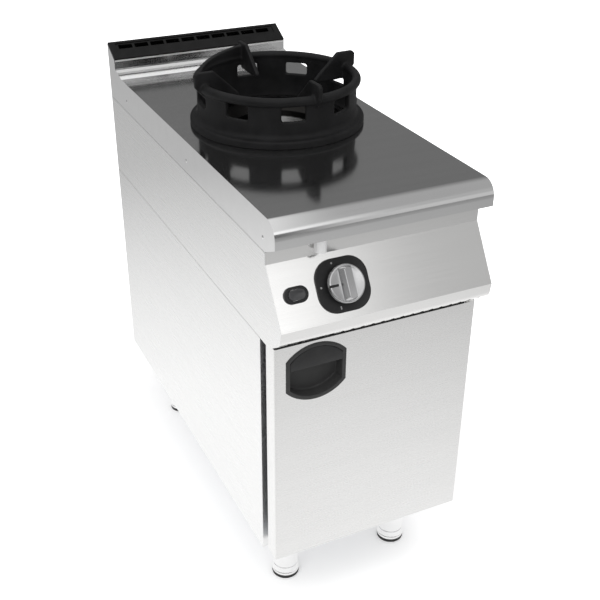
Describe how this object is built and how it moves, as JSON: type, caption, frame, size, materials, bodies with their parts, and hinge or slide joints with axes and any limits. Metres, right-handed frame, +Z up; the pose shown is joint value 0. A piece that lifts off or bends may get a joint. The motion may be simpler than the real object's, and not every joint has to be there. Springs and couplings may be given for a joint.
{
  "type": "wok range",
  "caption": "Free-standing gas wok range: a cabinet on round feet, slanted control panel, bullnose worktop with a cast wok ring, and a low flue at the back.",
  "frame": {"origin": "on the floor under the middle of the whole range", "axes": "+X to the right seen from the front, +Y to the back, +Z up"},
  "size_m": [0.4024, 0.9352, 0.9615],
  "materials": {
    "stainless_panel": "brushed stainless sheet, satin",
    "stainless_top": "polished stainless sheet, fine brushed",
    "stainless_bowl": "pressed stainless, satin",
    "zinc_sheet": "zinc-coated sheet, dull",
    "black_cap": "black vitreous enamel, satin",
    "cast_iron": "matte black cast iron",
    "bright_steel": "bright drawn steel",
    "brass": "machined brass",
    "copper_tube": "soft copper tube",
    "knob_metal": "satin silver",
    "black_plastic": "black, satin",
    "pale_plastic": "off-white",
    "ceramic": "white glazed ceramic",
    "lead_rubber": "red-brown silicone sleeve",
    "bright_tube": "polished stainless tube",
    "black_rubber": "black rubber"
  },
  "bodies": {
    "cabinet": {"back_panel": "zinc_sheet", "belt_frame": "zinc_sheet", "burner_body": "cast_iron", "burner_rails": "zinc_sheet", "cabinet_floor": "zinc_sheet", "console_side_left": "stainless_panel", "console_side_right": "stainless_panel", "control_panel": "stainless_panel", "door_catch": "black_plastic", "drip_tray": "bright_steel", "feed_pipe": "bright_steel", "flue_duct": "zinc_sheet", "flue_riser": "stainless_top", "gas_injector": "brass", "gas_inlet": "brass", "gas_valve": "brass", "hinge_bracket_lower": "zinc_sheet", "hinge_bracket_upper": "zinc_sheet", "igniter_bezel": "black_plastic", "ignition_lead": "lead_rubber", "knob_bezel": "black_plastic", "leg_tubes": "bright_tube", "mixer_tube": "cast_iron", "piezo_igniter": "pale_plastic", "pilot_bracket": "zinc_sheet", "pilot_burner": "brass", "pilot_pipe": "copper_tube", "side_panel_left": "stainless_panel", "side_panel_right": "stainless_panel", "sight_tube": "bright_tube", "skirt_screws": "bright_steel", "spark_electrode": "ceramic", "spill_bowl": "stainless_bowl", "supply_pipe": "bright_steel", "thermocouple": "copper_tube", "top_frame": "zinc_sheet", "tray_runners": "zinc_sheet", "worktop": "stainless_top"},
    "door": {"door_skin": "stainless_panel", "door_liner": "zinc_sheet", "handle_cup": "black_plastic", "handle_visor": "black_plastic", "hinge_pins": "bright_steel", "catch_strike": "zinc_sheet"},
    "tap_plug": {"valve_plug": "brass"},
    "knob": {"knob": "knob_metal", "valve_stem": "bright_steel"},
    "igniter_button": {"igniter_button": "black_plastic"},
    "wok_ring": {"wok_ring": "cast_iron"},
    "burner_cap": {"burner_cap": "cast_iron"},
    "flue_grille": {"flue_grille": "black_cap"},
    "air_shutter": {"air_shutter": "bright_steel"},
    "foot_front_left": {"foot_front_left": "bright_tube", "foot_pad_front_left": "black_rubber"},
    "foot_front_right": {"foot_front_right": "bright_tube", "foot_pad_front_right": "black_rubber"},
    "foot_rear_left": {"foot_rear_left": "bright_tube", "foot_pad_rear_left": "black_rubber"},
    "foot_rear_right": {"foot_rear_right": "bright_tube", "foot_pad_rear_right": "black_rubber"}
  },
  "joints": [
    {"name": "door_hinge", "type": "hinge", "parent": "cabinet", "child": "door", "pos_m": [0.184, -0.403, 0.4], "axis": [0, 0, 1], "range_deg": [0, 110]},
    {"name": "knob_turn", "type": "hinge", "parent": "cabinet", "child": "tap_plug", "pos_m": [-0.076, -0.425, 0.717], "axis": [0, -0.8455, 0.534], "range_deg": [0, 210]},
    {"name": "knob_push", "type": "slide", "parent": "tap_plug", "child": "knob", "axis": [0, 0.8455, -0.534], "range_m": [0, 0.004], "stiffness_N_per_m": 1000, "springref_m": -0.004},
    {"name": "igniter_press", "type": "slide", "parent": "cabinet", "child": "igniter_button", "axis": [0, 0.8455, -0.534], "range_m": [0, 0.004], "stiffness_N_per_m": 500, "springref_m": -0.003},
    {"name": "ring_lift", "type": "slide", "parent": "cabinet", "child": "wok_ring", "axis": [0, 0, 1], "range_m": [0, 0.12]},
    {"name": "cap_lift", "type": "slide", "parent": "cabinet", "child": "burner_cap", "axis": [0, 0, 1], "range_m": [0, 0.05]},
    {"name": "grille_lift", "type": "slide", "parent": "cabinet", "child": "flue_grille", "axis": [0, 0, 1], "range_m": [0, 0.05]},
    {"name": "shutter_turn", "type": "hinge", "parent": "cabinet", "child": "air_shutter", "pos_m": [0, -0.276, 0.768], "axis": [0, 1, 0], "range_deg": [0, 60]},
    {"name": "foot_front_left_turn", "type": "hinge", "parent": "cabinet", "child": "foot_front_left", "pos_m": [-0.123, -0.305, 0.02], "axis": [0, 0, 1], "continuous": true},
    {"name": "foot_front_right_turn", "type": "hinge", "parent": "cabinet", "child": "foot_front_right", "pos_m": [0.123, -0.305, 0.02], "axis": [0, 0, 1], "continuous": true},
    {"name": "foot_rear_left_turn", "type": "hinge", "parent": "cabinet", "child": "foot_rear_left", "pos_m": [-0.123, 0.325, 0.02], "axis": [0, 0, 1], "continuous": true},
    {"name": "foot_rear_right_turn", "type": "hinge", "parent": "cabinet", "child": "foot_rear_right", "pos_m": [0.123, 0.325, 0.02], "axis": [0, 0, 1], "continuous": true}
  ]
}
